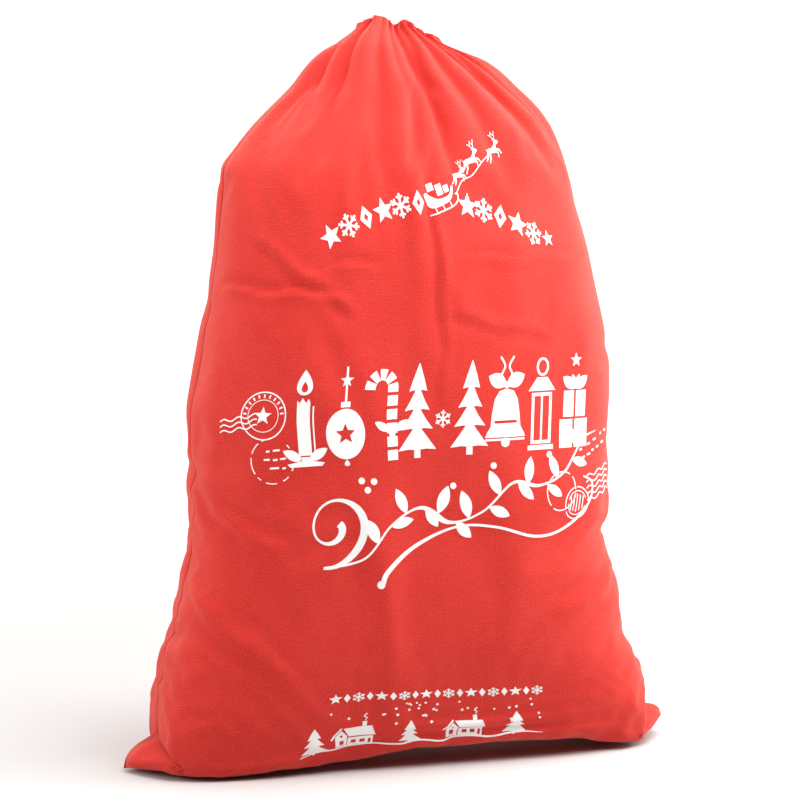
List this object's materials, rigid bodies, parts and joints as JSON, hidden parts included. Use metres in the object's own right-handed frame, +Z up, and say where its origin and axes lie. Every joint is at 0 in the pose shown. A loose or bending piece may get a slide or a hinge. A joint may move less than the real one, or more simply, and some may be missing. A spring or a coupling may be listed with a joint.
{
  "type": "fabric gift sack",
  "caption": "Filled drawstring gift sack in red brushed cotton with a white winter print, standing on its base with its mouth gathered shut.",
  "frame": {"origin": "on the floor, under the middle of the base", "axes": "+Z up, -Y out of the printed front, +X to the right as one looks at the front"},
  "size_m": [0.504, 0.1942, 0.642],
  "materials": {
    "red_cotton": "brushed cotton, plain weave",
    "print_white": "matte screen-printed ink",
    "thread": "spun polyester sewing thread",
    "cord": "braided cotton cord"
  },
  "bodies": {
    "root": {"front_panel": "red_cotton", "back_panel": "red_cotton", "left_side_seam": "red_cotton", "right_side_seam": "red_cotton", "bottom_seam": "red_cotton", "left_bottom_corner": "red_cotton", "right_bottom_corner": "red_cotton"},
    "mouth_front": {"front_shoulder": "red_cotton", "front_casing": "red_cotton", "front_hem_stitching": "thread"},
    "mouth_back": {"back_shoulder": "red_cotton", "back_casing": "red_cotton", "back_hem_stitching": "thread", "drawcord": "cord", "drawcord_knot": "cord"}
  },
  "joints": [
    {"name": "mouth_front_open", "type": "hinge", "parent": "root", "child": "mouth_front", "pos_m": [0, -0.0934, 0.43], "axis": [1, 0, 0], "range_deg": [0, 20]},
    {"name": "mouth_back_open", "type": "hinge", "parent": "root", "child": "mouth_back", "pos_m": [0, 0.0934, 0.43], "axis": [-1, 0, 0], "range_deg": [0, 20], "deforming": ["drawcord"]}
  ],
  "couplings": [
    {"joint": "mouth_back_open", "follows": "mouth_front_open", "ratio": 1}
  ]
}
